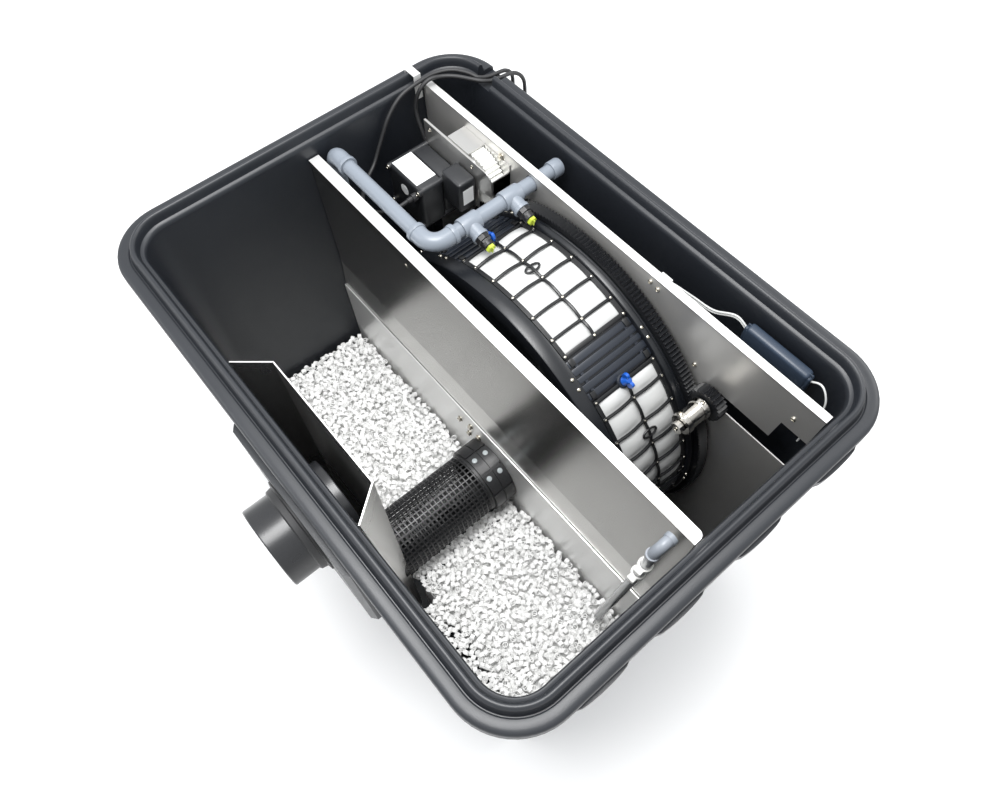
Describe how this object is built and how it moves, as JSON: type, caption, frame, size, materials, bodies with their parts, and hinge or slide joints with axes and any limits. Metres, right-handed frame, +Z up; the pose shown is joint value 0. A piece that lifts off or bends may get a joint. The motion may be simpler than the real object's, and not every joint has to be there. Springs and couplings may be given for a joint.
{
  "type": "drum filter with moving bed",
  "caption": "Open tank with a geared rotating screen drum, its motor and rinse pipe, and a moving-bed chamber with a strainer tube leading to a side outlet.",
  "frame": {"origin": "centre of the tank's flat underside", "axes": "+Z up; +X along the long side, away from the drive motor; -Y towards the outlet pipe"},
  "size_m": [1.22, 1.0555, 0.9213],
  "materials": {
    "tank": "moulded polyethylene, charcoal, satin",
    "black_pipe": "black moulded pipe stub",
    "stainless": "folded stainless sheet, cold rolled",
    "carriers": "loose white wheel-shaped carriers",
    "strainer": "black moulded cage",
    "drain_pipe": "grey pressed pipe",
    "white_plastic": "machined white nylon",
    "drum_body": "moulded anthracite plastic",
    "polished_steel": "turned and polished stainless",
    "rubber": "black rubber lip",
    "black_gear": "black moulded pinion",
    "motor_case": "anthracite gear motor case",
    "pressure_pipe": "light blue-grey pressure pipe",
    "nozzle": "black holder with a lime tip",
    "pump_case": "black pump case",
    "grey_hose": "grey reinforced hose",
    "control_case": "blue-grey junction case",
    "air_fitting": "grey hose elbow",
    "air_hose": "clear vinyl air hose",
    "cable": "black rubber mains cable",
    "screen": "white screen cloth in an anthracite moulded frame",
    "latch": "blue moulded wing knob"
  },
  "bodies": {
    "tank": {"tank_shell": "tank", "outlet_pipe": "black_pipe", "baffle_box": "stainless", "front_sheet": "stainless", "front_lower_sheet": "stainless", "rear_sheet": "stainless", "rear_collar": "stainless", "carrier_bed_left": "carriers", "carrier_bed_right": "carriers", "strainer_tube": "strainer", "strainer_cap": "strainer", "inlet_pipe_1": "drain_pipe", "inlet_pipe_2": "drain_pipe", "waste_gutter": "stainless", "axle_bracket": "stainless", "axle_bush": "white_plastic", "guide_axle": "polished_steel", "motor_body": "motor_case", "motor_plate": "stainless", "motor_bracket": "stainless", "motor_gland": "black_pipe", "riser_pipe": "pressure_pipe", "cross_pipe": "pressure_pipe", "header_elbow": "pressure_pipe", "spray_header": "pressure_pipe", "nozzle_1": "nozzle", "nozzle_2": "nozzle", "rinse_pump": "pump_case", "pump_hose": "grey_hose", "control_case": "control_case", "cable_clip": "stainless", "air_elbow": "air_fitting", "air_hose": "air_hose", "motor_cable": "cable", "motor_cable_coil": "cable", "motor_plug": "cable", "pump_cable": "cable", "pump_cable_coil": "cable", "pump_plug": "cable"},
    "drum": {"drum_frame": "drum_body", "drum_end_disc": "drum_body", "drum_axle": "polished_steel", "drum_seal": "rubber", "ring_gear": "black_gear", "screen_panel_1": "screen", "screen_panel_2": "screen", "screen_panel_3": "screen", "screen_panel_4": "screen", "screen_panel_5": "screen", "screen_panel_6": "screen"},
    "drive": {"drive_gear": "white_plastic", "drive_shaft": "polished_steel"},
    "guide": {"guide_gear": "black_gear", "guide_sleeve": "polished_steel"},
    "latch_1": {"wing_latch_1": "latch"},
    "latch_2": {"wing_latch_2": "latch"},
    "latch_3": {"wing_latch_3": "latch"},
    "latch_4": {"wing_latch_4": "latch"},
    "latch_5": {"wing_latch_5": "latch"},
    "latch_6": {"wing_latch_6": "latch"}
  },
  "joints": [
    {"name": "drum_spin", "type": "hinge", "parent": "tank", "child": "drum", "pos_m": [-0.009, 0.175, 0.447], "axis": [0, 1, 0], "continuous": true},
    {"name": "drive_spin", "type": "hinge", "parent": "tank", "child": "drive", "pos_m": [-0.32884, 0.2855, 0.80222], "axis": [0, 1, 0], "continuous": true},
    {"name": "guide_spin", "type": "hinge", "parent": "tank", "child": "guide", "pos_m": [0.35829, 0.2855, 0.71386], "axis": [0, 1, 0], "continuous": true},
    {"name": "latch_1_turn", "type": "hinge", "parent": "drum", "child": "latch_1", "pos_m": [-0.16349, 0.17, 0.81813], "axis": [-0.3843, 0, 0.9232], "range_deg": [0, 90]},
    {"name": "latch_2_turn", "type": "hinge", "parent": "drum", "child": "latch_2", "pos_m": [0.23517, 0.17, 0.76636], "axis": [0.6074, 0, 0.7944], "range_deg": [0, 90]},
    {"name": "latch_3_turn", "type": "hinge", "parent": "drum", "child": "latch_3", "pos_m": [0.38965, 0.17, 0.39522], "axis": [0.9917, 0, -0.1288], "range_deg": [0, 90]},
    {"name": "latch_4_turn", "type": "hinge", "parent": "drum", "child": "latch_4", "pos_m": [0.14549, 0.17, 0.07587], "axis": [0.3843, 0, -0.9232], "range_deg": [0, 90]},
    {"name": "latch_5_turn", "type": "hinge", "parent": "drum", "child": "latch_5", "pos_m": [-0.25316, 0.17, 0.12765], "axis": [-0.6074, 0, -0.7944], "range_deg": [0, 90]},
    {"name": "latch_6_turn", "type": "hinge", "parent": "drum", "child": "latch_6", "pos_m": [-0.40765, 0.17, 0.49878], "axis": [-0.9917, 0, 0.1288], "range_deg": [0, 90]}
  ],
  "couplings": [
    {"joint": "drive_spin", "follows": "drum_spin", "ratio": -6.95},
    {"joint": "guide_spin", "follows": "drum_spin", "ratio": -11.583}
  ]
}
